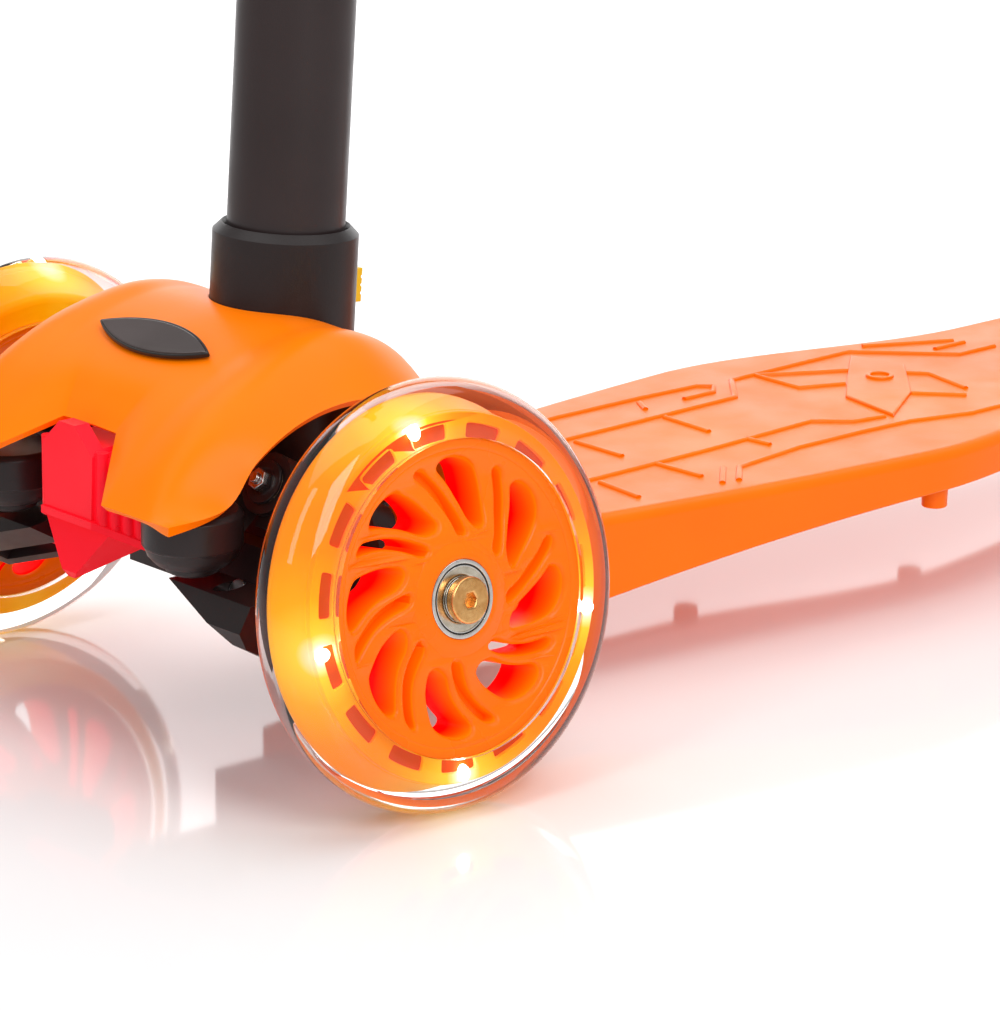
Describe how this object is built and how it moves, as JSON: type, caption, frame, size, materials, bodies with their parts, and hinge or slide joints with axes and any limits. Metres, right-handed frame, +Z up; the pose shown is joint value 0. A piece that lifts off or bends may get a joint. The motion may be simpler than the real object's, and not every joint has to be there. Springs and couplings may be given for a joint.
{
  "type": "kick scooter",
  "caption": "Child's lean-to-steer kick scooter: low deck, cambered light-up front wheels, small rear wheels with a foot brake, telescopic lift-out T-bar.",
  "frame": {"origin": "on the ground under the middle of the overall length, on the plane of symmetry", "axes": "+X forwards, +Y to the rider's left, +Z up"},
  "size_m": [0.5472, 0.248, 0.6538],
  "materials": {
    "orange_plastic": "semi-gloss moulded polypropylene",
    "shroud_plastic": "satin moulded plastic",
    "black_plastic": "fine moulded texture",
    "red_plastic": "satin moulded plastic",
    "badge_plastic": "domed gloss with a silver rim, no lettering",
    "steel_hardware": "zinc plated",
    "spring_steel": "oiled",
    "bearing_steel": "ground ring with a pressed shield",
    "bronze_bush": "plain",
    "yellow_zinc": "yellow passivated zinc",
    "core_plastic": "gloss moulded plastic, slightly translucent",
    "clear_tyre": "clear cast polyurethane",
    "light_ring_plastic": "translucent, lit from inside",
    "led_lens": "clear domes, glowing",
    "brake_steel": "plain sheet",
    "black_tube": "satin black powder coat",
    "bar_tube": "plain",
    "button_plastic": "moulded plastic",
    "grip_rubber": "soft ribbed rubber"
  },
  "bodies": {
    "scooter_base": {"deck": "orange_plastic", "deck_screws": "steel_hardware", "front_frame": "black_plastic", "stem_collar": "black_plastic", "shroud": "shroud_plastic", "shroud_screws": "steel_hardware", "badge": "badge_plastic", "truck_cover": "red_plastic", "pivot_bolts": "steel_hardware", "pivot_nuts": "steel_hardware", "spring_housings": "black_plastic", "centring_springs": "spring_steel", "rear_axle": "steel_hardware", "rear_axle_nut": "steel_hardware", "rear_spacers": "steel_hardware", "brake_pin": "steel_hardware", "brake_spring": "spring_steel"},
    "left_arm": {"left_steering_arm": "black_plastic", "left_pivot_bush": "bronze_bush", "left_axle_bolt": "yellow_zinc", "left_magnet_sleeve": "steel_hardware", "left_link_pin": "steel_hardware"},
    "right_arm": {"right_steering_arm": "black_plastic", "right_pivot_bush": "bronze_bush", "right_axle_bolt": "yellow_zinc", "right_magnet_sleeve": "steel_hardware", "right_link_pin": "steel_hardware"},
    "link": {"tie_link": "red_plastic"},
    "left_wheel": {"left_wheel_core": "core_plastic", "left_tyre": "clear_tyre", "left_light_ring": "light_ring_plastic", "left_leds": "led_lens", "left_bearings": "bearing_steel"},
    "right_wheel": {"right_wheel_core": "core_plastic", "right_tyre": "clear_tyre", "right_light_ring": "light_ring_plastic", "right_leds": "led_lens", "right_bearings": "bearing_steel"},
    "rear_left_wheel": {"rear_left_core": "core_plastic", "rear_left_tyre": "clear_tyre", "rear_left_bearings": "bearing_steel"},
    "rear_right_wheel": {"rear_right_core": "core_plastic", "rear_right_tyre": "clear_tyre", "rear_right_bearings": "bearing_steel"},
    "brake": {"brake_fender": "black_plastic", "brake_shoe": "brake_steel"},
    "column": {"lower_tube": "black_tube", "height_clamp": "black_plastic", "clamp_bolt": "steel_hardware"},
    "lever": {"clamp_lever": "black_plastic"},
    "t_bar": {"upper_tube": "black_tube", "handlebar_tee": "black_plastic", "handlebar_tube": "bar_tube", "left_grip": "grip_rubber", "right_grip": "grip_rubber"},
    "button": {"release_button": "button_plastic"}
  },
  "joints": [
    {"name": "left_steer", "type": "hinge", "parent": "scooter_base", "child": "left_arm", "pos_m": [0.2211, 0.05, 0.08], "axis": [0.866, 0, 0.5], "range_deg": [-8, 8], "stiffness_Nm_per_rad": 45},
    {"name": "right_steer", "type": "hinge", "parent": "scooter_base", "child": "right_arm", "pos_m": [0.2211, -0.05, 0.08], "axis": [0.866, 0, 0.5], "range_deg": [-8, 8]},
    {"name": "link_swing", "type": "hinge", "parent": "left_arm", "child": "link", "pos_m": [0.2361, 0.05, 0.05402], "axis": [0.866, 0, 0.5], "range_deg": [-8, 8]},
    {"name": "left_wheel_spin", "type": "hinge", "parent": "left_arm", "child": "left_wheel", "pos_m": [0.2085, 0.097, 0.05953], "axis": [0, 0.9903, 0.1392], "continuous": true},
    {"name": "right_wheel_spin", "type": "hinge", "parent": "right_arm", "child": "right_wheel", "pos_m": [0.2085, -0.097, 0.05953], "axis": [0, 0.9903, -0.1392], "continuous": true},
    {"name": "rear_left_spin", "type": "hinge", "parent": "scooter_base", "child": "rear_left_wheel", "pos_m": [-0.2285, 0.0146, 0.04], "axis": [0, 1, 0], "continuous": true},
    {"name": "rear_right_spin", "type": "hinge", "parent": "scooter_base", "child": "rear_right_wheel", "pos_m": [-0.2285, -0.0146, 0.04], "axis": [0, 1, 0], "continuous": true},
    {"name": "brake_press", "type": "hinge", "parent": "scooter_base", "child": "brake", "pos_m": [-0.1765, 0, 0.062], "axis": [0, 1, 0], "range_deg": [-2.5, 0], "stiffness_Nm_per_rad": 1, "springref_deg": 14.32},
    {"name": "column_lift", "type": "slide", "parent": "scooter_base", "child": "column", "axis": [-0.0645, 0, 0.9979], "range_m": [0, 0.078]},
    {"name": "height_slide", "type": "slide", "parent": "column", "child": "t_bar", "axis": [-0.0645, 0, 0.9979], "range_m": [0, 0.18]},
    {"name": "lever_open", "type": "hinge", "parent": "column", "child": "lever", "pos_m": [0.13249, 0.015, 0.44732], "axis": [-0.0645, 0, 0.9979], "range_deg": [0, 130]},
    {"name": "button_press", "type": "slide", "parent": "scooter_base", "child": "button", "axis": [0.9979, 0, 0.0645], "range_m": [0, 0.0015], "stiffness_N_per_m": 600, "springref_m": -0.001}
  ],
  "couplings": [
    {"joint": "right_steer", "follows": "left_steer", "ratio": 1},
    {"joint": "link_swing", "follows": "left_steer", "ratio": -1}
  ]
}
